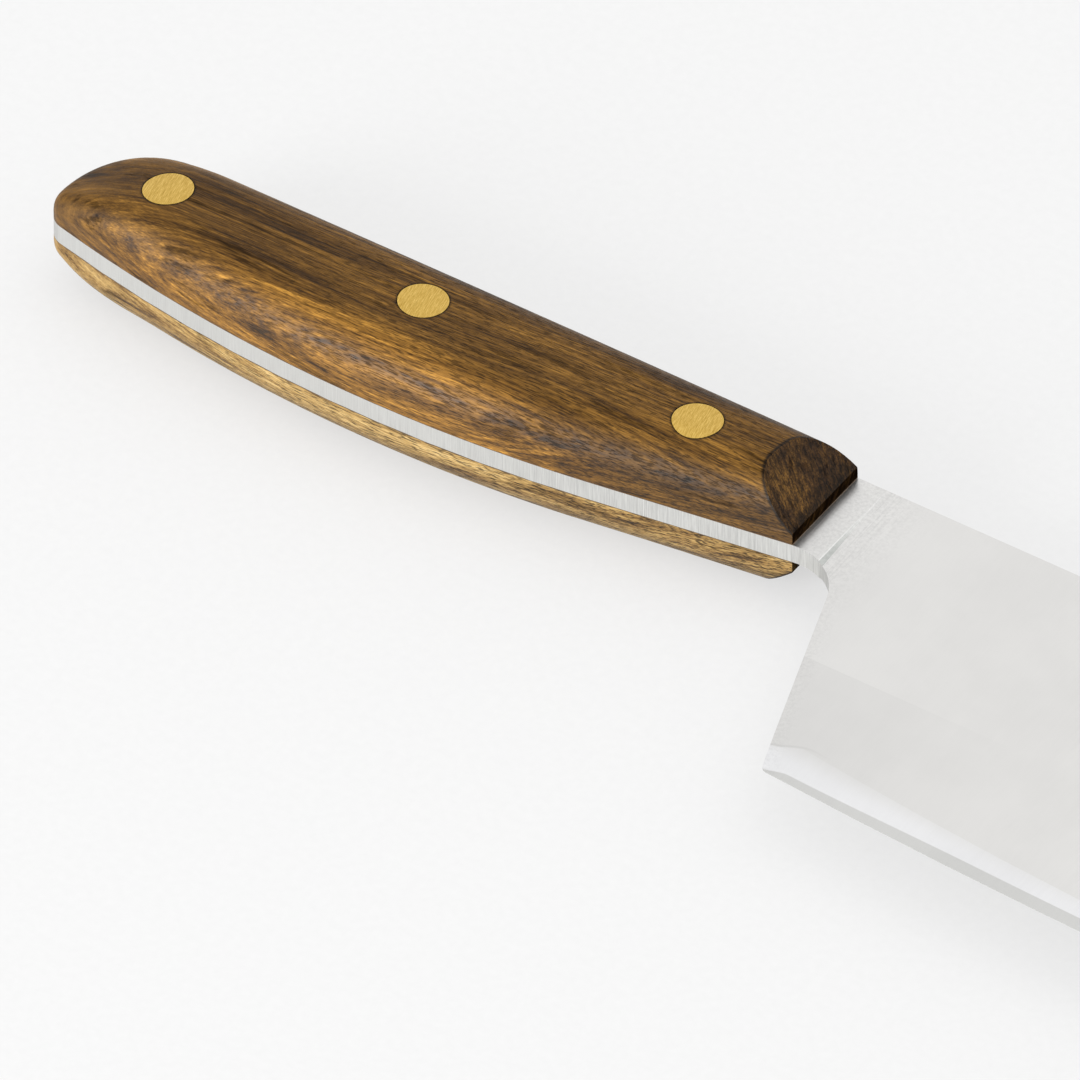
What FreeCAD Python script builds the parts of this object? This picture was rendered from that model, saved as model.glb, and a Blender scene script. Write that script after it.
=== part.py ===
# Full-tang chef's knife: one steel blade and tang, two wooden handle scales glued on with
# epoxy and held by three two-part brass cutler's rivets ground flush with the wood.
#
# Design frame: X runs along the knife towards the tip, with 0 at the front of the scales,
# Y runs towards the spine, with 0 on the spine line, and Z is up, with 0 on the mid-plane
# of the steel. The right scale is on top. At the end every piece gets the same placement,
# which puts the origin at the bottom centre of the knife as it lies on its left side.
# Sizes are in millimetres and degrees.
import FreeCAD, Part
import math
import os
import Sketcher

V = FreeCAD.Vector
START, END, CENTRE = 1, 2, 3   # point numbers in sketch constraints
UP = V(0, 0, 1)

SIZES = {
    # steel
    "stock_thickness": (2.75, "steel at the spine and tang"),
    "plunge_place": (4.2, "start of the ground flats, ahead of the scales"),
    "plunge_angle": (20.0, "slope of the short ramp at that start"),
    "flat_angle": (1.0, "main ground flat, per side"),
    "thinning_place": (29.75, "line where the second flat starts, below the spine line"),
    "thinning_angle": (1.3, "second ground flat, per side"),
    "band_angle": (3.55, "narrow flat along the cutting edge, per side"),
    "bevel_angle": (9.5, "sharpened bevel, per side"),
    "bevel_width": (1.45, "sharpened bevel"),
    "edge_land": (0.1, "steel left at the very edge"),
    "band_reach": (30.0, "how far the band may run up the blade, near the tip"),
    "rear_cut_turn": (6.0, "turn of the edge cuts about the rear arc's centre, past the heel"),
    "front_cut_turn": (35.0, "the same about the front arc's centre, past the tip"),
    "cut_reach": (60.0, "how far the flats reach below the spine line"),
    "cut_room": (3.0, "room above the steel that a cut takes"),
    # outline of the blade
    "choil_radius": (7.5, "finger curve between handle and heel"),
    "heel_place": (17.9, "heel corner, ahead of the scales"),
    "heel_slant": (18.2, "lean of the heel line, off square"),
    "heel_corner_radius": (1.0, "heel corner"),
    "deep_place": (100.0, "deepest point of the cutting edge, ahead of the scales"),
    "blade_depth": (52.1, "that point, below the spine line"),
    "rear_edge_radius": (1000.0, "cutting edge from the heel to that point"),
    "drop_place": (105.0, "where the spine starts to drop"),
    "tip_place": (221.0, "tip, ahead of the scales"),
    "tip_depth": (19.0, "tip, below the spine line"),
    "tip_radius": (1.2, "tip rounding"),
    # outline of the handle
    "front_height": (14.5, "handle height at the front of the scales"),
    "belly_depth": (21.2, "deepest point of the belly, below the spine line"),
    "belly_place": (58.6, "that point, behind the front of the scales"),
    "belly_radius": (203.0, "long arc of the belly"),
    "back_radius": (6000.0, "long arc of the back"),
    "butt_place": (95.3, "where the back turns into the butt"),
    "butt_radius": (13.0, "butt curve"),
    "butt_corner_radius": (3.0, "corner between butt and belly"),
    # scales
    "film_thickness": (0.1, "epoxy between tang and scale"),
    "scale_thickness": (7.6, "wood at the highest line of the crown"),
    "crown_radius": (60.0, "crown of a scale across the handle"),
    "crown_place": (12.0, "highest line of the crown, below the spine line"),
    "fall_place": (90.0, "where the crown starts to fall towards the butt"),
    "fall_radius": (36.0, "that fall"),
    "front_step": (1.8, "square step at the front of a scale, above the tang"),
    "facet_angle": (48.0, "lean of the front facet, off square"),
    "rim_round": (6.8, "rounding along the back and the belly"),
    "corner_round": (2.9, "the same at the corner between butt and belly"),
    "chin_round": (6.0, "the same at the front end of the belly"),
    # rivets
    "head_diameter": (6.35, "head of a rivet"),
    "tube_diameter": (4.0, "tube of the socket half"),
    "pin_diameter": (3.2, "pin of the stud half, a press fit in the tube"),
    "head_clearance": (0.1, "gap around a head"),
    "tube_clearance": (0.05, "gap around the tube"),
    "head_seat": (4.4, "underside of a head, away from the tang"),
    "pin_reach": (3.0, "end of the pin, beyond the tang"),
    "tube_reach": (3.9, "end of the tube, beyond the tang"),
    "bore_reach": (3.4, "bottom of the bore, beyond the tang"),
    "front_rivet_x": (17.3, "front rivet, behind the front of the scales"),
    "front_rivet_y": (9.0, "front rivet, below the spine line"),
    "middle_rivet_x": (56.9, "middle rivet, behind the front of the scales"),
    "middle_rivet_y": (9.35, "middle rivet, below the spine line"),
    "rear_rivet_x": (94.2, "rear rivet, behind the front of the scales"),
    "rear_rivet_y": (9.3, "rear rivet, below the spine line"),
}
RIVETS = ("front", "middle", "rear")
BASE_HEIGHT = "stock_thickness / 2 + film_thickness"   # underside of the right scale
# the front part of the cutting edge is an arc that starts level and ends at the tip
EDGE_RISE = "( blade_depth - tip_depth )"
EDGE_RUN = "( tip_place - deep_place )"
FRONT_CENTRE = f"( {EDGE_RUN} ^ 2 / {EDGE_RISE} + {EDGE_RISE} ) / 2 - blade_depth"

doc = FreeCAD.newDocument("chefs_knife")
sheet = doc.addObject("Spreadsheet::Sheet", "sizes")
for row, (alias, (value, meaning)) in enumerate(SIZES.items(), start=1):
    sheet.set(f"A{row}", meaning)
    sheet.set(f"B{row}", str(value))
    sheet.setAlias(f"B{row}", alias)
doc.recompute()


def size(alias):
    """A driving dimension, read back from the sheet."""
    return float(sheet.get(alias))


def formula(text):
    """Spell out the sheet's name in front of each alias of a formula."""
    return " ".join(f"sizes.{word}" if word in SIZES else word for word in text.split())


def bind(thing, **formulas):
    """Tie properties to the sheet; a double underscore in a name stands for a dot."""
    for name, text in formulas.items():
        thing.setExpression(name.replace("__", "."), formula(text))


def part_object(kind, name, **links):
    """A Part feature with its links set."""
    thing = doc.addObject(f"Part::{kind}", name)
    for link, value in links.items():
        setattr(thing, link, value)
    return thing


def mirrored(name, source):
    """The same thing on the other side of the knife."""
    return part_object("Mirroring", name, Source=source, Normal=UP)


# ---------------------------------------------------------------- sketches
def new_sketch(body, name, role):
    """A sketch on one of the body's own origin planes."""
    sketch = body.newObject("Sketcher::SketchObject", name)
    plane = next(p for p in body.Origin.OriginFeatures if p.Role == role)
    sketch.AttachmentSupport = [(plane, "")]
    sketch.MapMode = "FlatFace"
    return sketch


def fixed(sketch, kind, *where):
    sketch.addConstraint(Sketcher.Constraint(kind, *where))


def driven(sketch, name, text, kind, *where):
    """A sketch dimension tied to the sheet, set first so that the solver starts near it."""
    value = sheet.evalExpression(formula(text))
    start = math.radians(value) if kind == "Angle" else float(value)
    index = sketch.addConstraint(Sketcher.Constraint(kind, *where, start))
    sketch.renameConstraint(index, name)
    sketch.setExpression(f".Constraints.{name}", formula(text))


def driven_point(sketch, name, x_text, y_text, geometry, point=START):
    driven(sketch, f"{name}_x", x_text, "DistanceX", geometry, point)
    driven(sketch, f"{name}_y", y_text, "DistanceY", geometry, point)


def add_line(sketch, start, end):
    return sketch.addGeometry(Part.LineSegment(V(*start), V(*end)))


def add_arc(sketch, centre, radius, first, last):
    """An arc run counter-clockwise between two directions, in degrees."""
    circle = Part.Circle(V(*centre), UP, radius)
    return sketch.addGeometry(Part.ArcOfCircle(circle, math.radians(first), math.radians(last)))


def add_guide(sketch, name, x_text, y_text):
    """A construction point at a place given by the sheet."""
    place = [float(sheet.evalExpression(formula(text))) for text in (x_text, y_text)]
    point = sketch.addGeometry(Part.Point(V(*place)), True)
    driven_point(sketch, name, x_text, y_text, point)
    return point


def handle_outline(sketch):
    """Back, butt and belly of the handle; returns the first and the last of its edges."""
    back = add_arc(sketch, (-47.6, -5999.8), 6000, 89.55, 90.45)
    butt = add_arc(sketch, (-95.5, -13), 13, 91, 189)
    corner = add_arc(sketch, (-106.3, -14.7), 2, 189, 256)
    belly = add_arc(sketch, (-58.6, 181.8), 203, 256, 279)
    front = add_line(sketch, (-27, -18.7), (0, -14.5))
    for before, after in ((back, butt), (butt, corner), (corner, belly), (belly, front)):
        fixed(sketch, "Tangent", before, END, after, START)
    driven_point(sketch, "back_front", "0", "0", back)
    driven_point(sketch, "back_end", "- butt_place", "0", back, END)
    driven(sketch, "back_radius", "back_radius", "Radius", back)
    driven(sketch, "butt_radius", "butt_radius", "Radius", butt)
    driven(sketch, "corner_radius", "butt_corner_radius", "Radius", corner)
    driven(sketch, "belly_radius", "belly_radius", "Radius", belly)
    driven_point(sketch, "belly", "- belly_place", "belly_radius - belly_depth", belly, CENTRE)
    chin = add_guide(sketch, "chin", "0", "- front_height")
    fixed(sketch, "PointOnObject", chin, START, front)
    return back, front


# ---------------------------------------------------------------- steel
def blade_outline(body):
    """Outline of the whole steel piece, seen from above: tang, choil, heel, edge and tip."""
    sketch = new_sketch(body, "steel_outline", "XY_Plane")
    back, front = handle_outline(sketch)
    choil = add_arc(sketch, (1.2, -21.9), 7.5, 18, 99)
    heel = add_line(sketch, (8.4, -19.5), (17.6, -47.8))
    heel_corner = add_arc(sketch, (18.7, -47.6), 1, 198, 265)
    rear_edge = add_arc(sketch, (100, 947.9), 1000, 265.3, 270)
    front_edge = add_arc(sketch, (100, 185.6), 237.7, 270, 300)
    tip = add_arc(sketch, (219.6, -19.3), 1.2, -60, 71)
    drop = add_arc(sketch, (105, -363.6), 363.6, 71.5, 90)
    spine = add_line(sketch, (105, 0), (0, 0))
    fixed(sketch, "Tangent", front, END, choil, END)
    fixed(sketch, "Tangent", choil, START, heel, START)
    chain = (heel, heel_corner, rear_edge, front_edge, tip, drop, spine)
    for before, after in zip(chain, chain[1:]):
        fixed(sketch, "Tangent", before, END, after, START)
    fixed(sketch, "Coincident", spine, END, back, START)
    fixed(sketch, "Horizontal", spine)
    driven(sketch, "drop_x", "drop_place", "DistanceX", spine, START)
    driven(sketch, "choil_radius", "choil_radius", "Radius", choil)
    driven(sketch, "heel_corner_radius", "heel_corner_radius", "Radius", heel_corner)
    driven(sketch, "heel_slant", "heel_slant - 90", "Angle", heel)
    driven(sketch, "rear_edge_radius", "rear_edge_radius", "Radius", rear_edge)
    driven_point(sketch, "deep", "deep_place", "- blade_depth", rear_edge, END)
    driven(sketch, "deep_centre", "deep_place", "DistanceX", rear_edge, CENTRE)
    driven(sketch, "tip_radius", "tip_radius", "Radius", tip)
    tip_point = add_guide(sketch, "tip", "tip_place", "- tip_depth")
    fixed(sketch, "PointOnObject", tip_point, START, front_edge)
    fixed(sketch, "PointOnObject", tip_point, START, drop)
    heel_point = sketch.addGeometry(Part.Point(V(17.9, -48.7)), True)
    driven(sketch, "heel_x", "heel_place", "DistanceX", heel_point, START)
    fixed(sketch, "PointOnObject", heel_point, START, rear_edge)
    fixed(sketch, "PointOnObject", heel_point, START, heel)
    return sketch


def tube_holes(body, name):
    """Circles for the holes that the three tubes pass through."""
    sketch = new_sketch(body, name, "XY_Plane")
    for rivet in RIVETS:
        place = V(-size(f"{rivet}_rivet_x"), -size(f"{rivet}_rivet_y"))
        hole = sketch.addGeometry(Part.Circle(place, UP, size("tube_diameter") / 2))
        driven_point(sketch, rivet, f"- {rivet}_rivet_x", f"- {rivet}_rivet_y", hole, CENTRE)
        driven(sketch, f"{rivet}_radius", "tube_diameter / 2 + tube_clearance", "Radius", hole)
    return sketch


def edge_profile(body, name, arc_centre):
    """What the band and the bevel take off the right side, square to the cutting edge.

    The sketch stands at the deepest point of the edge, with its vertical axis through the
    centre of the arc that the edge follows from there.
    """
    sketch = new_sketch(body, name, "YZ_Plane")
    bind(sketch, AttachmentOffset__Base__x=arc_centre, AttachmentOffset__Base__z="deep_place")
    edge_at = f"- blade_depth - ( {arc_centre} )"
    y = float(sheet.evalExpression(formula(edge_at)))
    corners = ((y, 0.05), (y + 1.4, 0.3), (y + 30, 2.1), (y + 30, 3), (y - 3, 3))
    sides = [add_line(sketch, a, b) for a, b in zip(corners, corners[1:] + corners[:1])]
    for before, after in zip(sides, sides[1:] + sides[:1]):
        fixed(sketch, "Coincident", before, END, after, START)
    bevel, band, rise, lid = sides[:4]
    fixed(sketch, "Vertical", rise)
    fixed(sketch, "Horizontal", lid)
    driven_point(sketch, "land", edge_at, "edge_land / 2", bevel)
    driven(sketch, "bevel_angle", "bevel_angle", "Angle", bevel)
    driven(sketch, "bevel_width", "bevel_width", "DistanceX", bevel, START, bevel, END)
    driven(sketch, "band_angle", "band_angle", "Angle", band)
    driven(sketch, "band_reach", "band_reach", "DistanceX", bevel, START, band, END)
    driven(sketch, "lid_height", "cut_room", "DistanceY", lid, END)
    driven(sketch, "lid_reach", "cut_room", "DistanceX", lid, END, bevel, START)
    return sketch


def grind_box(name, x_text, y_text, z_text, axis, angle_text):
    """A long box whose underside is a ground flat, turned about one of the knife's axes."""
    box = part_object("Box", name)
    box.Placement = FreeCAD.Placement(V(), FreeCAD.Rotation(axis, 1))
    bind(box, Length="tip_place + cut_room", Width="cut_reach", Height="cut_reach * 2",
         Placement__Base__x=x_text, Placement__Base__y=y_text, Placement__Base__z=z_text,
         Placement__Rotation__Angle=angle_text)
    return box


def right_grind():
    """Steel ground off the right side: the main flat with its ramp, and the thinning flat."""
    flat = grind_box("right_main_plane", "0", "- cut_reach * cos( flat_angle * 1deg )",
                     "stock_thickness / 2 - cut_reach * sin( flat_angle * 1deg )",
                     V(1, 0, 0), "flat_angle")
    ramp = grind_box("right_ramp_plane", "plunge_place", "- cut_reach",
                     "stock_thickness / 2", V(0, 1, 0), "plunge_angle")
    main = part_object("Common", "right_main_flat", Base=flat, Tool=ramp)
    pivot = "stock_thickness / 2 - thinning_place * tan( flat_angle * 1deg )"
    thinning = grind_box(
        "right_thinning_flat", "0",
        "- thinning_place - cut_reach * cos( thinning_angle * 1deg )",
        f"{pivot} - cut_reach * sin( thinning_angle * 1deg )", V(1, 0, 0), "thinning_angle")
    return part_object("MultiFuse", "right_grind", Shapes=[main, thinning])


def make_blade():
    """Blade and full tang, one piece of steel."""
    body = doc.addObject("PartDesign::Body", "steel")
    plate = body.newObject("PartDesign::Pad", "plate")
    plate.Profile = blade_outline(body)
    plate.SideType = "Symmetric"
    bind(plate, Length="stock_thickness")
    doc.recompute()
    holes = body.newObject("PartDesign::Pocket", "holes")
    holes.Profile = tube_holes(body, "tang_holes")
    holes.SideType = "Symmetric"
    bind(holes, Length="stock_thickness + cut_room")
    doc.recompute()
    cuts = []
    sweeps = (("rear", "rear_edge_radius - blade_depth"), ("front", FRONT_CENTRE))
    for end, arc_centre in sweeps:
        cut = body.newObject("PartDesign::Groove", f"{end}_edge_cut")
        profile = edge_profile(body, f"{end}_edge_profile", arc_centre)
        cut.Profile = profile
        cut.ReferenceAxis = (profile, ["V_Axis"])
        cut.Reversed = end == "rear"
        bind(cut, Angle=f"{end}_cut_turn")
        doc.recompute()
        cuts.append(cut)
    both_sides = body.newObject("PartDesign::Mirrored", "left_edge_cuts")
    both_sides.Originals = cuts
    plane = next(p for p in body.Origin.OriginFeatures if p.Role == "XY_Plane")
    both_sides.MirrorPlane = (plane, [""])
    body.Tip = both_sides
    doc.recompute()
    right = right_grind()
    grinds = part_object("MultiFuse", "grinds", Shapes=[right, mirrored("left_grind", right)])
    return part_object("Cut", "blade", Base=body, Tool=grinds)


# ---------------------------------------------------------------- handle
def handle_plate(body, name, height):
    """Closed outline of the handle behind the front of the scales, at some height."""
    sketch = new_sketch(body, f"{name}_outline", "XY_Plane")
    bind(sketch, AttachmentOffset__Base__z=height)
    back, front = handle_outline(sketch)
    closing = add_line(sketch, (0, -14.5), (0, 0))
    fixed(sketch, "Coincident", front, END, closing, START)
    fixed(sketch, "Coincident", closing, END, back, START)
    fixed(sketch, "Vertical", closing)
    return sketch


def make_film():
    """Epoxy between the tang and the right scale."""
    body = doc.addObject("PartDesign::Body", "right_film")
    sheet_of_glue = body.newObject("PartDesign::Pad", "film")
    sheet_of_glue.Profile = handle_plate(body, "film", "stock_thickness / 2")
    bind(sheet_of_glue, Length="film_thickness")
    doc.recompute()
    holes = body.newObject("PartDesign::Pocket", "film_holes_cut")
    holes.Profile = tube_holes(body, "film_holes")
    holes.Reversed = True
    bind(holes, Length="stock_thickness")
    return body


def crown_profile(body):
    """Everything beyond the crown, beside the axis across which the scale is crowned.

    The crown line is level from the front and then falls along a wide arc to the butt. The
    profile hangs below the axis, so that the seam of the turned surface is clear of the wood.
    """
    sketch = new_sketch(body, "crown_profile", "XZ_Plane")
    bind(sketch, AttachmentOffset__Base__z="crown_place",
         AttachmentOffset__Base__y=f"{BASE_HEIGHT} + scale_thickness - crown_radius")
    level = add_line(sketch, (3, -60), (-90, -60))
    fall = add_arc(sketch, (-90, -24), 36, 236, 270)
    rear = add_line(sketch, (-111, -57), (-111, -66))
    lid = add_line(sketch, (-111, -66), (3, -66))
    front = add_line(sketch, (3, -66), (3, -60))
    fixed(sketch, "Tangent", level, END, fall, END)
    fixed(sketch, "Coincident", fall, START, rear, START)
    for before, after in ((rear, lid), (lid, front), (front, level)):
        fixed(sketch, "Coincident", before, END, after, START)
    for upright in (rear, front):
        fixed(sketch, "Vertical", upright)
    for flat in (level, lid):
        fixed(sketch, "Horizontal", flat)
    driven_point(sketch, "fall", "- fall_place", "- crown_radius", level, END)
    driven(sketch, "fall_radius", "fall_radius", "Radius", fall)
    driven(sketch, "front_x", "cut_room", "DistanceX", level, START)
    driven(sketch, "rear_x", "- butt_place - butt_radius - cut_room", "DistanceX", rear, START)
    driven(sketch, "lid_y", "- crown_radius - 2 * cut_room", "DistanceY", lid, START)
    return sketch


def rim_radius(point):
    """Rounding of the rim where two of its edges meet, or where it ends at the front."""
    if point.x < -size("butt_place") - 1:
        return size("corner_round")
    on_belly = point.y < -size("crown_place")
    return size("chin_round") if on_belly and point.x > -1 else size("rim_round")


def way_round(point):
    """How far round the rim a point is, from the front of the belly past the butt to the back."""
    return -math.atan2(point.y + size("crown_place"), point.x + size("belly_place")) % math.tau


def rim_edges(shape):
    """Edges where the crown meets the sides, each with its radius at its first and last end."""
    found = []
    for number, edge in enumerate(shape.Edges, start=1):
        ends = sorted((vertex.Point for vertex in edge.Vertexes), key=way_round)
        at_top = min(end.z for end in ends) > size("stock_thickness")
        across = abs(ends[0].x - ends[1].x) < 0.01
        if at_top and not across:
            found.append((number, rim_radius(ends[0]), rim_radius(ends[1])))
    return found


def right_form():
    """Outside of the right scale before its front is cut: crowned, with a rounded rim."""
    body = doc.addObject("PartDesign::Body", "right_blank")
    block = body.newObject("PartDesign::Pad", "block")
    block.Profile = handle_plate(body, "scale", BASE_HEIGHT)
    bind(block, Length="scale_thickness + cut_room")
    doc.recompute()
    crown = body.newObject("PartDesign::Groove", "crown")
    crown.Profile = crown_profile(body)
    crown.ReferenceAxis = (crown.Profile[0], ["H_Axis"])
    crown.Angle = 360
    doc.recompute()
    form = part_object("Fillet", "right_form", Base=body)
    form.Edges = rim_edges(body.Shape)
    return form


def cylinder(name, diameter, x_text, y_text, bottom, top):
    """An upright round piece or hole between two heights."""
    round_bar = part_object("Cylinder", name)
    bind(round_bar, Radius=f"( {diameter} ) / 2", Height=f"( {top} ) - ( {bottom} )",
         Placement__Base__x=x_text, Placement__Base__y=y_text, Placement__Base__z=bottom)
    return round_bar


def rivet_place(rivet):
    return f"- {rivet}_rivet_x", f"- {rivet}_rivet_y"


def make_scale(form):
    """Right scale: the form with its front facet cut and three stepped holes bored."""
    facet = part_object("Box", "front_facet")
    facet.Placement = FreeCAD.Placement(V(), FreeCAD.Rotation(V(0, 1, 0), -1))
    bind(facet, Length="cut_reach", Width="2 * cut_reach", Height="cut_reach",
         Placement__Base__y="- cut_reach", Placement__Base__z="stock_thickness / 2 + front_step",
         Placement__Rotation__Angle="- facet_angle")
    cuts = [facet]
    for rivet in RIVETS:
        place = rivet_place(rivet)
        cuts.append(cylinder(f"{rivet}_tube_hole", "tube_diameter + 2 * tube_clearance", *place,
                             "0", "scale_thickness"))
        cuts.append(cylinder(f"{rivet}_head_hole", "head_diameter + 2 * head_clearance", *place,
                             "stock_thickness / 2 + head_seat", "2 * scale_thickness"))
    tools = part_object("MultiFuse", "scale_cuts", Shapes=cuts)
    return part_object("Cut", "right_scale", Base=form, Tool=tools)


# ---------------------------------------------------------------- rivets
def make_rivet(rivet, right, left):
    """Stud half from the right and socket half from the left, pressed together."""
    place = rivet_place(rivet)
    right_seat, left_seat = "stock_thickness / 2 + head_seat", "- stock_thickness / 2 - head_seat"
    stud_blank = cylinder(f"{rivet}_stud_blank", "head_diameter", *place, right_seat,
                          "2 * scale_thickness")
    stud_head = part_object("Common", f"{rivet}_stud_head", Base=stud_blank, Tool=right)
    pin = cylinder(f"{rivet}_pin", "pin_diameter", *place,
                   "- stock_thickness / 2 - pin_reach", right_seat)
    stud = part_object("MultiFuse", f"rivet_stud_{rivet}", Shapes=[stud_head, pin])

    socket_blank = cylinder(f"{rivet}_socket_blank", "head_diameter", *place,
                            "- 2 * scale_thickness", left_seat)
    socket_head = part_object("Common", f"{rivet}_socket_head", Base=socket_blank, Tool=left)
    tube = cylinder(f"{rivet}_tube", "tube_diameter", *place, left_seat,
                    "stock_thickness / 2 + tube_reach")
    solid_socket = part_object("MultiFuse", f"{rivet}_solid_socket", Shapes=[socket_head, tube])
    bore = cylinder(f"{rivet}_bore", "pin_diameter", *place,
                    "- stock_thickness / 2 - bore_reach", "scale_thickness")
    socket = part_object("Cut", f"rivet_socket_{rivet}", Base=solid_socket, Tool=bore)
    return [stud, socket]


# ---------------------------------------------------------------- the knife
def settle(pieces):
    """Place every piece so that the origin is at the knife's bottom centre.

    A mirrored piece follows its source across the knife, but to the wrong side in height.
    """
    doc.recompute()
    box = FreeCAD.BoundBox()
    for piece in pieces:
        box.add(piece.Shape.optimalBoundingBox())
    shift = V(-box.Center.x, -box.Center.y, -box.ZMin)
    for piece in pieces:
        follows = piece.TypeId == "Part::Mirroring"
        move = V(0, 0, 2 * shift.z) if follows else shift
        piece.Placement = FreeCAD.Placement(move, FreeCAD.Rotation())
    doc.recompute()
    return shift


def check(pieces):
    """Stop if a feature failed or a piece is not one valid solid."""
    for thing in doc.Objects:
        if "Invalid" in thing.State or "Error" in thing.State:
            raise RuntimeError(f"{thing.Name} failed: {thing.State}")
        if thing.isDerivedFrom("Sketcher::SketchObject") and not thing.FullyConstrained:
            raise RuntimeError(f"{thing.Name} is not fully constrained")
    for piece in pieces:
        if piece.Shape.isNull() or not piece.Shape.isValid() or len(piece.Shape.Solids) != 1:
            raise RuntimeError(f"{piece.Label} is not one valid solid")


right = right_form()
left = mirrored("left_form", right)
right_scale = make_scale(right)
right_film = make_film()
knife = [make_blade(), right_scale, mirrored("left_scale", right_scale), right_film,
         mirrored("left_film", right_film)]
for rivet_name in RIVETS:
    knife += make_rivet(rivet_name, right, left)

moved = settle(knife)
check(knife)
os.makedirs("parts", exist_ok=True)
for piece in knife:
    piece.Shape.exportStep(f"parts/{piece.Label}.step")
    print(piece.Label, round(piece.Shape.Volume, 1), piece.Shape.optimalBoundingBox())
print("the design frame's origin is at", moved)
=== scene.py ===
"""Looks of the chef's knife: oiled hardwood scales, brass rivets, satin-ground steel and a thin
dark glue line, on a pale floor in soft studio light. Every piece is a CAD node with a better
material. Materials work in the row frame, in millimetres: X runs to the tip, Y to the spine and
Z up through the right side of the knife.
"""
import math

import bpy
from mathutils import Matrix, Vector


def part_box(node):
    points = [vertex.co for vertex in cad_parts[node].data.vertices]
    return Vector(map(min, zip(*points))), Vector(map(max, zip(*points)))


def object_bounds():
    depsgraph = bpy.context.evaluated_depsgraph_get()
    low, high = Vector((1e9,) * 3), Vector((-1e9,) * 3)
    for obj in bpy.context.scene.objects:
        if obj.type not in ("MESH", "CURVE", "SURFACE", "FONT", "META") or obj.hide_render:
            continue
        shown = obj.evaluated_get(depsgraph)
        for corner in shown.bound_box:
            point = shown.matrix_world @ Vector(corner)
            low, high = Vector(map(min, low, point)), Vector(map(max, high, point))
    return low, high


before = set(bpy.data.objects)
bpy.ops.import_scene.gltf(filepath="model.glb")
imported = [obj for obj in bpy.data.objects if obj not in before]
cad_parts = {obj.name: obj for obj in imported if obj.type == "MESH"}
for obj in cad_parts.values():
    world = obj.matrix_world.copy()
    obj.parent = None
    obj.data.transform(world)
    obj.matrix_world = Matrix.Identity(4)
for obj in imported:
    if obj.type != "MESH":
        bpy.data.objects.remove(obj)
cad_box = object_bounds()

# ---------------------------------------------------------------- places, in mm, and angles
MM = 1000.0                                    # millimetres in a metre
RIVETS = ("front", "middle", "rear")
BLADE_LOW, BLADE_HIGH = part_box("blade")
SCALE_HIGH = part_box("right_scale")[1]
FRONT_X = SCALE_HIGH[0] * MM                   # front end of the scales
SPINE_Y = SCALE_HIGH[1] * MM                   # back of the handle, in line with the spine
MIDDLE_Z = (BLADE_LOW[2] + BLADE_HIGH[2]) / 2 * MM   # mid-plane of the steel
STEP_TOP = 3.175                               # height of the step before the facet, from there
FACET_ANGLE = math.radians(48)                 # lean of the front facet, off square
BELLY_TOP, BELLY_LOW = 14.8, 19.0              # where the belly's painted light begins and ends, below the spine
PLUNGE_X = 4.2                                 # start of the ground flats, ahead of the scales
HEEL_X, HEEL_DEPTH = 17.9, 48.8                # heel corner, ahead of the scales, below the spine
HEEL_SLANT = math.radians(18.2)                # lean of the heel line, off square
DEEP_X, BLADE_DEPTH = 100.0, 52.1              # deepest point of the cutting edge
EDGE_RADII = (1000.0, 237.7)                   # cutting edge behind and ahead of that point
BEVEL_WIDTH = 1.45                             # sharpened bevel
BAND_WIDTHS = (3.5, 5.7)                       # bright band at the heel, and further along
RING_LEAN = math.radians(35)                   # turn of the rings about the fibres
FIBRE_TILT = math.radians(-1.5)                # turn of the fibres off the handle's axis
BRASS_TURN = math.radians(78)                  # direction in which the rivets were rubbed
WHITE = (255, 255, 255)


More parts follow.
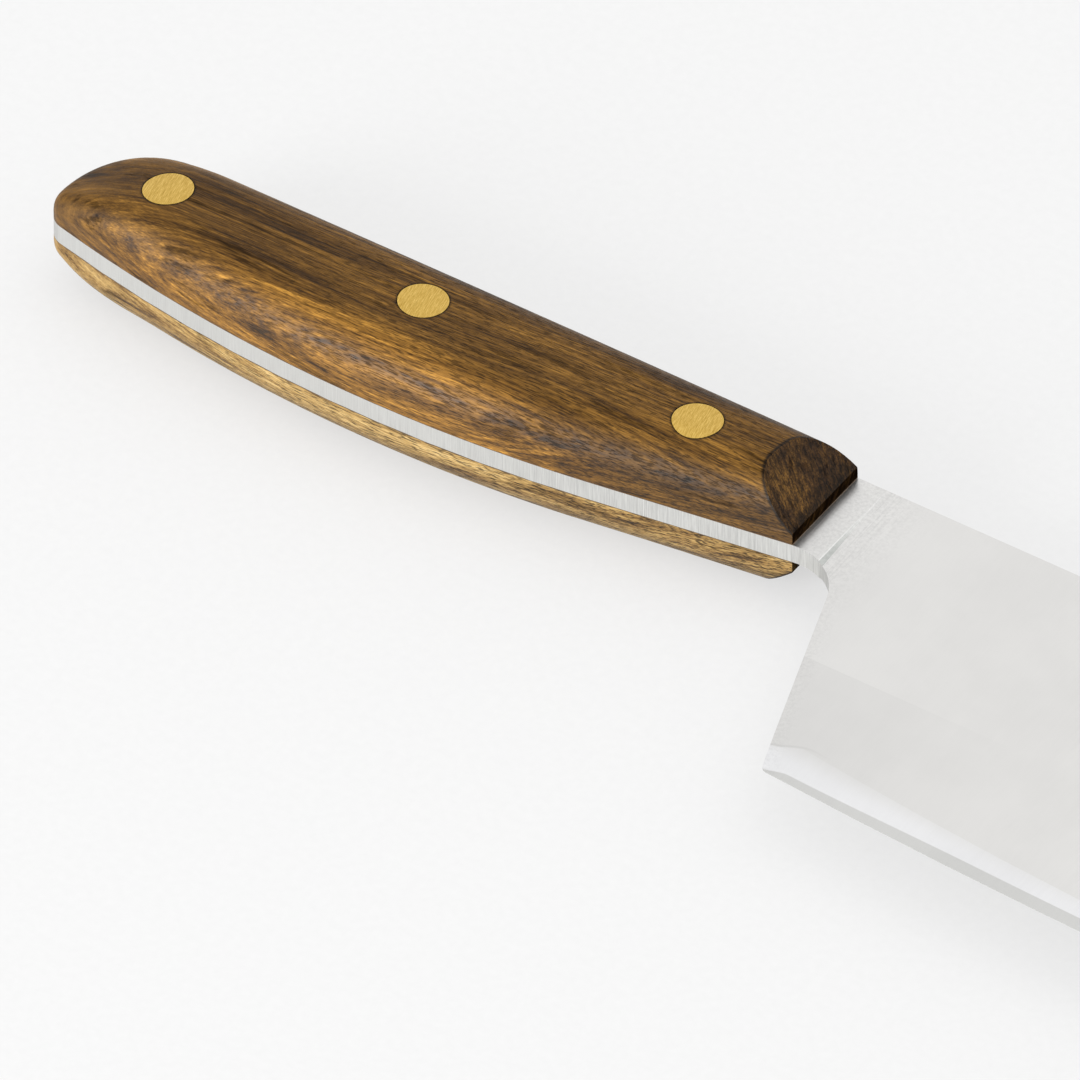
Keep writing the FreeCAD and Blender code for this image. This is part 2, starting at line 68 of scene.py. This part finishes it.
# ---------------------------------------------------------------- node helpers
class Graph:
    """A material's node tree, with one short call for each kind of node used here."""

    def __init__(self, name):
        self.material = bpy.data.materials.new(name)
        self.material.use_nodes = True
        self.tree = self.material.node_tree
        self.tree.nodes.clear()

    def add(self, kind, inputs=(), **settings):
        """A node with its settings and its inputs, each a plain value or another's output."""
        node = self.tree.nodes.new(f"ShaderNode{kind}")
        for name, value in settings.items():
            setattr(node, name, value)
        for key, value in dict(inputs).items():
            if isinstance(value, bpy.types.NodeSocket):
                self.tree.links.new(value, node.inputs[key])
            else:
                node.inputs[key].default_value = value
        return node

    def place(self):
        """Where the surface is, in millimetres in the row frame."""
        spot = self.add("TexCoord").outputs["Object"]
        return self.add("VectorMath", {0: spot, 3: MM}, operation="SCALE").outputs[0]

    def parts(self, vector):
        """The three components of a vector."""
        return self.add("SeparateXYZ", {0: vector}).outputs

    def join(self, x, y, z):
        """A vector from its three components."""
        return self.add("CombineXYZ", {0: x, 1: y, 2: z}).outputs[0]

    def stretch(self, vector, scale, offset=(0.0, 0.0, 0.0)):
        """A vector scaled axis by axis, then moved."""
        inputs = {0: vector, 1: scale, 2: offset}
        return self.add("VectorMath", inputs, operation="MULTIPLY_ADD").outputs[0]

    def math(self, operation, *values):
        """A sum on plain values or other nodes' outputs."""
        return self.add("Math", dict(enumerate(values)), operation=operation).outputs[0]

    def level(self, value, low, high, to_low=0.0, to_high=1.0):
        """A value taken from one range to another, smoothly, and kept inside it."""
        inputs = {0: value, 1: low, 2: high, 3: to_low, 4: to_high}
        return self.add("MapRange", inputs, interpolation_type="SMOOTHSTEP").outputs[0]

    def line(self, value, middle, half_width):
        """1 where a value is at the middle, smoothly down to 0 at half a width from it."""
        off = self.math("ABSOLUTE", self.math("SUBTRACT", value, middle))
        return self.level(off, 0.0, half_width, 1.0, 0.0)

    def noise(self, vector, detail=3.0, roughness=0.55):
        """Noise around 0.5 with features about one unit wide."""
        inputs = {"Vector": vector, "Scale": 1.0, "Detail": detail, "Roughness": roughness}
        return self.add("TexNoise", inputs, noise_dimensions="3D").outputs[0]

    def ramp(self, value, stops):
        """A colour for a value, from (position, colour) pairs."""
        node = self.add("ValToRGB", {0: value})
        marks = node.color_ramp.elements
        while len(marks) < len(stops):
            marks.new(1.0)
        for mark, (position, colour) in zip(marks, stops):
            mark.position = position
            mark.color = linear(colour)
        return node.outputs[0]

    def blend(self, factor, first, second):
        """Two colours mixed."""
        node = self.add("Mix", {"Factor": factor}, data_type="RGBA")
        for socket, colour in zip([s for s in node.inputs if s.type == "RGBA"], (first, second)):
            if isinstance(colour, bpy.types.NodeSocket):
                self.tree.links.new(colour, socket)
            else:
                socket.default_value = linear(colour)
        return next(s for s in node.outputs if s.type == "RGBA")

    def shade(self, colour, factor):
        """A colour made lighter or darker by a number."""
        grey = self.join(factor, factor, factor)
        return self.add("VectorMath", {0: colour, 1: grey}, operation="MULTIPLY").outputs[0]

    def swing(self, noise, amount, start=0.0):
        """Noise around 0.5 taken as a swing of some amount about a starting value."""
        return self.math("MULTIPLY_ADD", self.math("SUBTRACT", noise, 0.5), amount, start)

    def darken(self, colour, amount, most):
        """A colour made darker, by up to the most where the amount is 1."""
        return self.shade(colour, self.math("MULTIPLY_ADD", amount, -most, 1.0))

    def bump(self, height, depth):
        """A surface normal from a height between 0 and 1 that stands for a depth in mm."""
        inputs = {"Height": height, "Strength": 1.0, "Distance": depth / MM}
        return self.add("Bump", inputs).outputs[0]

    def finish(self, **inputs):
        """The surface shader; a double underscore in a name stands for a space."""
        named = {name.replace("__", " "): value for name, value in inputs.items()}
        surface = self.add("BsdfPrincipled", named)
        self.add("OutputMaterial", {"Surface": surface.outputs[0]})
        return self.material


def linear(colour):
    """An sRGB colour given in 0 to 255, as the linear numbers that Blender works in."""
    steps = [c / 255 for c in colour]
    return [c / 12.92 if c <= 0.04045 else ((c + 0.055) / 1.055) ** 2.4 for c in steps] + [1.0]


# ---------------------------------------------------------------- wood
TONE_STOPS = (0.0, 0.2, 0.4, 0.55, 0.75, 1.0)  # where each of a piece's tones stands
RIGHT_TONES = ((37, 24, 8), (62, 40, 13), (83, 56, 18), (97, 67, 24), (117, 82, 31),
               (150, 108, 43))
# the left scale is the same wood as the right, and its paler tones are painted light
LEFT_TONES = ((40, 26, 10), (96, 68, 30), (144, 111, 60), (166, 132, 76), (186, 152, 92),
              (216, 183, 122))
OILED_TONE = (70, 52, 42)                      # what the end grain's tone is drawn towards


class Figure:
    """The layers of a piece of wood's figure, each a noise around 0.5, coarse to fine."""

    def __init__(self, g, spot, offset):
        moved = g.add("VectorMath", {0: spot, 1: offset}, operation="ADD").outputs[0]
        # in own and grain, x runs with the fibres, y across the rings and z along them
        own = g.add("VectorRotate", {"Vector": moved, "Rotation": (RING_LEAN, 0.0, FIBRE_TILT)},
                    rotation_type="EULER_XYZ").outputs[0]
        waves = g.add("TexNoise", {"Vector": g.stretch(own, (0.014, 0.05, 0.05)), "Scale": 1.0,
                                   "Detail": 2.0, "Roughness": 0.5}).outputs["Color"]
        bend = g.stretch(waves, (0.0, 6.0, 6.0), (0.0, -3.0, -3.0))
        grain = g.add("VectorMath", {0: own, 1: bend}, operation="ADD").outputs[0]
        self.zones = g.noise(g.stretch(grain, (0.012, 0.24, 0.12)), 2.0, 0.5)
        self.bands = g.noise(g.stretch(grain, (0.035, 1.3, 0.6)), 3.0, 0.6)
        self.lines = g.noise(g.stretch(grain, (0.06, 4.6, 0.9)), 3.0, 0.7)
        self.streaks = g.noise(g.stretch(grain, (0.05, 0.85, 0.35), (11.0, 5.0, 2.0)), 4.0, 0.65)
        self.fibres = g.noise(g.stretch(own, (0.6, 8.5, 7.5), (31.0, 7.0, 3.0)), 2.0, 0.6)
        self.pores = g.noise(g.stretch(own, (0.7, 6.5, 6.5), (3.0, 17.0, 9.0)), 1.0, 0.5)
        self.speckle = g.noise(g.stretch(own, (1.0, 2.2, 0.5)), 5.0, 0.8)


def wood(name, offset, tones, painted_belly_light, flecks):
    """Oiled hardwood with its fibres along the handle and its rings standing steeply in it.

    offset picks the piece's own stretch of figure, tones run from its darkest to its most
    golden wood, the next says how strong the painted light along the belly is, and flecks
    how dark its short pores are.
    """
    g = Graph(name)
    spot = g.place()
    x, y, z = g.parts(spot)
    # how far the surface faces the tip, the spine, and up from the right side
    facing, sideways, upward = g.parts(g.add("NewGeometry").outputs["Normal"])
    figure = Figure(g, spot, offset)
    fine = g.level(facing, -0.06, -0.40, 1.0, 0.35)     # fine figure fades on the butt
    black = black_streaks(g, figure, x)
    dashes = pore_dashes(g, figure, x, fine)

    tone = figure_tone(g, figure, fine)
    colour = g.ramp(tone, list(zip(TONE_STOPS, tones)))
    # painted light along the belly shoulder, and painted shade at its front end
    colour = g.shade(colour, g.math("MULTIPLY_ADD", belly(g, x, y), painted_belly_light, 1.0))
    colour = g.darken(colour, black, 1.0)
    colour = g.darken(colour, dashes, flecks)
    colour = g.darken(colour, g.level(rivet_distance(g, x, y), 0.40, 0.12), 0.55)
    step = g.level(facing, 0.80, 0.98)
    colour = end_grain(g, figure, colour, facing, step, x, z)
    # painted shade: the rounded edges that face down are darker
    colour = g.shade(colour, g.level(upward, -0.15, -0.75, 1.0, 0.55))

    rough = g.math("MULTIPLY_ADD", dashes, 0.2, g.level(figure.lines, 0.3, 0.7, 0.42, 0.54))
    # hands have polished the sides more than the top, and the blackest wood shines least
    polish = g.level(g.math("ABSOLUTE", sideways), 0.40, 0.85, 0.13, 0.34)
    dull = g.math("MAXIMUM", step, black)
    gloss = g.math("MULTIPLY", polish, g.math("SUBTRACT", 1.0, dull))
    height = g.math("MULTIPLY_ADD", dashes, -0.8, figure.lines)
    return g.finish(Base__Color=colour, Roughness=rough, Normal=g.bump(height, 0.03),
                    Specular__IOR__Level=gloss)


def figure_tone(g, figure, fine):
    """Where the wood lies between its darkest tone, 0, and its most golden one, 1."""
    tone = g.swing(figure.zones, 1.1)
    tone = g.swing(figure.bands, 1.3, tone)
    tone = g.swing(figure.lines, g.math("MULTIPLY", fine, 1.6), tone)
    tone = g.swing(figure.fibres, g.math("MULTIPLY", fine, 0.9), tone)
    return g.math("ADD", tone, 0.5)


def belly(g, x, y):
    """Painted light along the belly of the handle: 1 along the belly, and a little below 0, painted
    shade, at its front end.
    """
    low = g.level(y, SPINE_Y - BELLY_TOP, SPINE_Y - BELLY_LOW)
    return g.math("MULTIPLY", low, g.level(x, FRONT_X - 8.0, FRONT_X - 45.0, -0.25, 1.0))


def black_streaks(g, figure, x):
    """How black the wood is in its streaks, which are strongest towards both ends."""
    off_middle = g.math("ABSOLUTE", g.math("SUBTRACT", x, FRONT_X - 45.0))
    blacker = g.level(off_middle, 15.0, 45.0, 0.32, 0.55)
    return g.math("MULTIPLY", g.level(figure.streaks, 0.55, 0.64), blacker)


def pore_dashes(g, figure, x, fine):
    """Short open pores, fewer to be seen towards the butt."""
    dashes = g.math("MULTIPLY", g.level(figure.pores, 0.50, 0.64), fine)
    return g.math("MULTIPLY", dashes, g.level(x, FRONT_X - 95.0, FRONT_X - 55.0, 0.45, 1.0))


def end_grain(g, figure, colour, facing, step, x, z):
    """The front facet and step, where cut fibres take more oil and show darker and speckled; the
    step is darkened further by painted shade, and so are the foot of the facet and a rim along its
    back edge.
    """
    facet = g.level(facing, 0.40, 0.62)
    up = g.math("SUBTRACT", g.math("ABSOLUTE", g.math("SUBTRACT", z, MIDDLE_Z)), STEP_TOP)
    ahead = g.math("SUBTRACT", x, FRONT_X)
    off_facet = g.math("ADD", g.math("MULTIPLY", ahead, math.cos(FACET_ANGLE)),
                       g.math("MULTIPLY", up, math.sin(FACET_ANGLE)))
    # painted shade: a dark rim on the top along the facet's back edge
    edge_shade = g.math("MULTIPLY", g.level(off_facet, -0.40, -0.10), g.math("SUBTRACT", 1.0, facet))
    # the end grain darkens with oil; the step's stronger darkening is partly painted shade
    for amount, most in ((facet, 0.42), (step, 0.65), (edge_shade, 0.85)):
        colour = g.darken(colour, amount, most)
    colour = g.blend(g.math("MULTIPLY", facet, 0.2), colour, OILED_TONE)
    foot_shade = g.level(up, 1.8, -0.2, 0.0, 0.6)             # painted shade, darkest low on the facet
    speckle = g.math("SUBTRACT", g.level(figure.speckle, 0.37, 0.63, -0.70, 0.65), foot_shade)
    speckle = g.math("MULTIPLY_ADD", speckle, facet, 1.0)
    return g.shade(colour, g.math("MAXIMUM", speckle, 0.25))


def rivet_distance(g, x, y):
    """How far a place is outside the nearest rivet head, seen from above."""
    distances = []
    for rivet in RIVETS:
        low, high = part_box(f"rivet_stud_{rivet}")
        centre_x, centre_y = ((low[i] + high[i]) / 2 * MM for i in (0, 1))
        off_x = g.math("SUBTRACT", x, centre_x)
        off_y = g.math("SUBTRACT", y, centre_y)
        squares = g.math("MULTIPLY_ADD", off_x, off_x, g.math("MULTIPLY", off_y, off_y))
        radius = (high[0] - low[0]) / 2 * MM
        distances.append(g.math("SUBTRACT", g.math("SQRT", squares), radius))
    nearest = distances[0]
    for distance in distances[1:]:
        nearest = g.math("MINIMUM", distance, nearest)
    return nearest


# ---------------------------------------------------------------- steel
FLAT_TONE = (222, 221, 219)                    # main and thinning flats
BAND_TONE = (231, 231, 232)                    # painted highlight on the band above the bevel
# painted shade on the bevel
BEVEL_TONE = (206, 206, 204)
RAMP_TONE = (176, 178, 175)                    # painted shade on the ramp down from the ricasso at the plunge
WALL_TONE = (219, 219, 216)                    # spine, heel, choil and the edge of the tang
PLUNGE_HIGHLIGHT_TONE = (244, 244, 242)               # painted highlight on the crest along the plunge


def steel(name):
    """Satin-ground stainless steel: a tone of its own for each ground flat, set by its lean as
    painted light and shade, and brushed walls.
    """
    g = Graph(name)
    spot = g.place()
    x, y, _ = g.parts(spot)
    nx, ny, _ = g.parts(g.add("NewGeometry").outputs["True Normal"])
    lean = g.math("SQRT", g.math("ADD", g.math("MULTIPLY", nx, nx), g.math("MULTIPLY", ny, ny)))
    wall = g.level(lean, 0.5, 0.8)
    on_flats = g.math("SUBTRACT", 1.0, wall)
    ahead = g.math("SUBTRACT", x, FRONT_X)
    below = g.math("SUBTRACT", SPINE_Y, y)
    from_heel = heel_distance(g, ahead, below)
    from_edge = edge_distance(g, ahead, below)
    # the band is narrower at the heel, where the stone ran off
    past_band = g.math("SUBTRACT", from_edge, g.level(from_heel, -1.0, 5.5, *BAND_WIDTHS))

    colour = flat_tones(g, lean, below, from_heel, from_edge, past_band)
    colour = g.blend(wall, colour, WALL_TONE)
    # painted shade: walls turned back towards the handle are darker
    colour = g.shade(colour, g.level(nx, -0.15, -0.70, 1.0, 0.80))

    flat_lines = g.noise(g.stretch(spot, (5.0, 0.25, 0.25)), 4.0, 0.7)
    wall_lines = g.noise(g.stretch(spot, (8.0, 8.0, 0.2)), 3.0, 0.75)
    lines = g.math("ADD", g.math("MULTIPLY", flat_lines, on_flats),
                   g.math("MULTIPLY", wall_lines, wall))
    brushing = g.level(ahead, -75.0, -5.0, 0.3, 1.0)
    contrast = g.math("MULTIPLY_ADD", wall, brushing, 0.06)
    cloud = g.level(g.noise(g.stretch(spot, (0.07, 0.07, 0.07)), 3.0, 0.6), 0.3, 0.7, 0.98, 1.02)
    marks = g.math("MULTIPLY", wear(g, spot, ahead, from_heel), on_flats)
    colour = g.shade(colour, g.math("ADD", g.swing(lines, contrast, cloud), marks))

    # a painted highlight on the crest of the plunge, and a painted shade line where the band starts
    # at the heel
    plunge_highlight = g.math("MULTIPLY", g.line(ahead, PLUNGE_X - 0.06, 0.13),
                         g.level(below, 3.0, 13.0, 0.0, 0.8))
    colour = g.blend(g.math("MULTIPLY", plunge_highlight, on_flats), colour, PLUNGE_HIGHLIGHT_TONE)
    band_shade_line = g.math("MULTIPLY", g.line(past_band, 0.15, 0.3), g.level(from_heel, 9.0, 2.0))
    colour = g.darken(colour, band_shade_line, 0.09)
    rough = g.level(lines, 0.3, 0.7, 0.30, 0.38)
    return g.finish(Base__Color=colour, Metallic=1.0, Roughness=rough,
                    Normal=g.bump(lines, 0.0015))


def flat_tones(g, lean, below, from_heel, from_edge, past_band):
    """The tone of each ground flat, told apart by how far it leans off the mid-plane; the band's,
    the bevel's, the ramp's and the thinning flat's tones are painted light and shade.

    lean is 0.017 on the main flat, 0.023 on the thinning flat, 0.062 on the band along the
    edge, 0.165 on the bevel, 0.34 on the ramp at the plunge and 1 on the walls.
    """
    thinning = g.level(lean, 0.0185, 0.0215)
    ground = g.level(lean, 0.035, 0.055)
    ramp = g.math("MULTIPLY", g.level(lean, 0.24, 0.28), g.level(below, 4.0, 14.0, 0.25, 1.0))
    # painted highlight on the band, strongest close to the edge
    glow = g.math("MULTIPLY", g.level(past_band, 0.15, -0.15),
                  g.level(from_edge, 6.0, 2.0, 0.1, 1.0))
    # the bevel is narrower at the heel too
    bevel_top = g.math("ADD", g.level(from_heel, -0.5, 3.5, 0.0, 0.6 * BEVEL_WIDTH),
                       g.level(from_heel, 0.0, 30.0, 0.0, 0.4 * BEVEL_WIDTH))
    bevel = g.level(g.math("SUBTRACT", from_edge, bevel_top), 0.1, -0.1)
    # painted shade: the thinning flat is a little darker than the main one near the heel
    duller = g.level(from_heel, 0.0, 35.0, -0.055, 0.0)
    colour = g.shade(linear(FLAT_TONE)[:3], g.math("MULTIPLY_ADD", thinning, duller, 1.0))
    colour = g.blend(g.math("MULTIPLY", ground, glow), colour, BAND_TONE)
    colour = g.blend(g.math("MULTIPLY", ground, bevel), colour, BEVEL_TONE)
    return g.blend(ramp, colour, RAMP_TONE)


def wear(g, spot, ahead, from_heel):
    """Pits near the handle and the heel, and scratches beside the plunge."""
    pits = g.noise(g.stretch(spot, (2.2, 2.2, 2.2)), 3.0, 0.7)
    worn = g.math("MAXIMUM", g.level(ahead, 14.0, 3.0), g.level(from_heel, 3.0, 0.3, 0.0, 0.6))
    pitting = g.math("MULTIPLY", g.level(pits, 0.3, 0.75, 0.05, -0.13), worn)
    scratches = g.noise(g.stretch(spot, (4.5, 0.12, 1.0)), 3.0, 0.7)
    beside = g.math("MULTIPLY", g.level(ahead, PLUNGE_X, PLUNGE_X + 7.0, 1.0, 0.0),
                    g.level(ahead, PLUNGE_X - 0.3, PLUNGE_X))
    scratching = g.math("MULTIPLY", g.level(scratches, 0.45, 0.7, 0.0, -0.10), beside)
    return g.math("ADD", pitting, scratching)


def heel_distance(g, ahead, below):
    """How far a place on the blade is in front of the slanting line of its heel."""
    return g.math("ADD", g.math("MULTIPLY", g.math("SUBTRACT", ahead, HEEL_X),
                                math.cos(HEEL_SLANT)),
                  g.math("MULTIPLY", g.math("SUBTRACT", HEEL_DEPTH, below),
                         math.sin(HEEL_SLANT)))


def edge_distance(g, ahead, below):
    """How far a place on the blade is from its cutting edge, which is two arcs end to end."""
    along = g.math("SUBTRACT", ahead, DEEP_X)
    distances = []
    for radius in EDGE_RADII:
        up = g.math("ADD", below, radius - BLADE_DEPTH)
        squares = g.math("MULTIPLY_ADD", along, along, g.math("MULTIPLY", up, up))
        distances.append(g.math("SUBTRACT", radius, g.math("SQRT", squares)))
    in_front = g.math("GREATER_THAN", along, 0.0)
    change = g.math("SUBTRACT", distances[1], distances[0])
    return g.math("MULTIPLY_ADD", change, in_front, distances[0])


# ---------------------------------------------------------------- brass and glue
def brass(name):
    """Brass ground flush and rubbed across the handle."""
    g = Graph(name)
    spot = g.place()
    turned = g.add("VectorRotate", {"Vector": spot, "Angle": BRASS_TURN},
                   rotation_type="Z_AXIS").outputs[0]
    lines = g.noise(g.stretch(turned, (0.7, 7.5, 1.0)), 4.0, 0.85)
    marks = g.level(g.noise(g.stretch(turned, (0.3, 3.0, 1.0), (4.0, 9.0, 0.0)), 2.0), 0.6, 0.75)
    colour = g.ramp(lines, ((0.30, (172, 135, 52)), (0.50, (208, 172, 87)), (0.70, (240, 207, 124))))
    colour = g.darken(colour, marks, 0.10)
    rough = g.level(lines, 0.3, 0.7, 0.34, 0.46)
    return g.finish(Base__Color=colour, Metallic=1.0, Roughness=rough,
                    Normal=g.bump(lines, 0.004))


def glue(name):
    """Dark cured epoxy, seen only as a hairline between wood and steel."""
    g = Graph(name)
    grains = g.noise(g.stretch(g.place(), (1.5, 1.5, 1.5)), 3.0, 0.6)
    colour = g.ramp(grains, ((0.35, (78, 60, 40)), (0.65, (112, 88, 60))))
    return g.finish(Base__Color=colour, Roughness=0.55, Normal=g.bump(grains, 0.01))


def pale_floor(name):
    """Plain matt sheet that glows like a photographer's table, so shadows on it are faint."""
    g = Graph(name)
    fibre = g.noise(g.stretch(g.place(), (0.8, 0.8, 0.8)), 3.0, 0.6)
    colour = g.ramp(fibre, ((0.3, (141, 141, 141)), (0.7, (145, 145, 145))))
    return g.finish(Base__Color=colour, Roughness=0.9, Specular__IOR__Level=0.0,
                    Emission__Color=linear(WHITE), Emission__Strength=0.582)


def dress(node, material):
    """Give a CAD node its finished material."""
    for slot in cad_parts[node].material_slots:
        slot.material = material


# ---------------------------------------------------------------- camera, light and floor
def add_camera(azimuth, elevation, aim, distance, width):
    """A long lens that looks at a point and sees a given width there."""
    data = bpy.data.cameras.new("camera")
    data.sensor_width = 36.0
    data.lens = data.sensor_width * distance / width
    camera = bpy.data.objects.new("camera", data)
    bpy.context.scene.collection.objects.link(camera)
    turn, rise = math.radians(azimuth), math.radians(elevation)
    back = Vector((math.sin(turn) * math.cos(rise), -math.cos(turn) * math.cos(rise),
                   math.sin(rise)))
    camera.location = Vector(aim) + back * distance
    camera.rotation_euler = back.to_track_quat("Z", "Y").to_euler()
    bpy.context.scene.camera = camera


def add_softbox(name, place, aim, size, power):
    """A square white area light that faces a point."""
    data = bpy.data.lights.new(name, "AREA")
    data.shape = "SQUARE"
    data.size = size
    data.energy = power
    light = bpy.data.objects.new(name, data)
    bpy.context.scene.collection.objects.link(light)
    light.location = place
    away = Vector(place) - Vector(aim)
    light.rotation_euler = away.to_track_quat("Z", "Y").to_euler()


def add_world(strength):
    """Even white light from all round."""
    world = bpy.data.worlds.new("studio")
    bpy.context.scene.world = world
    world.use_nodes = True
    background = world.node_tree.nodes["Background"]
    background.inputs["Color"].default_value = linear(WHITE)
    background.inputs["Strength"].default_value = strength


def add_floor(half_width):
    """A wide plane at the height of the knife's lowest point."""
    height = cad_box[0][2]
    signs = ((-1, -1), (1, -1), (1, 1), (-1, 1))
    corners = [(x * half_width, y * half_width, height) for x, y in signs]
    mesh = bpy.data.meshes.new("floor")
    mesh.from_pydata(corners, [], [(0, 1, 2, 3)])
    mesh.materials.append(pale_floor("floor"))
    floor = bpy.data.objects.new("floor", mesh)
    bpy.context.scene.collection.objects.link(floor)


# ---------------------------------------------------------------- the scene
AIM = (-0.0848, 0.0004, 0.0050)                # a point on the handle, in metres
add_camera(azimuth=33.4, elevation=42.6, aim=AIM, distance=5.0, width=0.1308)
bpy.context.scene.view_settings.view_transform = "Standard"
add_world(1.0)
add_softbox("back_light", (0.25, 0.45, 1.20), AIM, size=1.0, power=1.5)
add_softbox("front_light", (-0.53, -0.92, 0.42), AIM, size=0.45, power=8.0)
add_floor(half_width=3.0)

dress("right_scale", wood("wood_right", (40.0, 4.5, 5.0), RIGHT_TONES, painted_belly_light=1.1, flecks=0.55))
dress("left_scale", wood("wood_left", (90.0, 17.0, 40.0), LEFT_TONES, painted_belly_light=0.0, flecks=0.75))
dress("blade", steel("steel_satin"))
brass_finish = brass("brass_brushed")
for rivet in RIVETS:
    dress(f"rivet_stud_{rivet}", brass_finish)
    dress(f"rivet_socket_{rivet}", brass_finish)
glue_finish = glue("glue_line")
for side in ("right", "left"):
    dress(f"{side}_film", glue_finish)
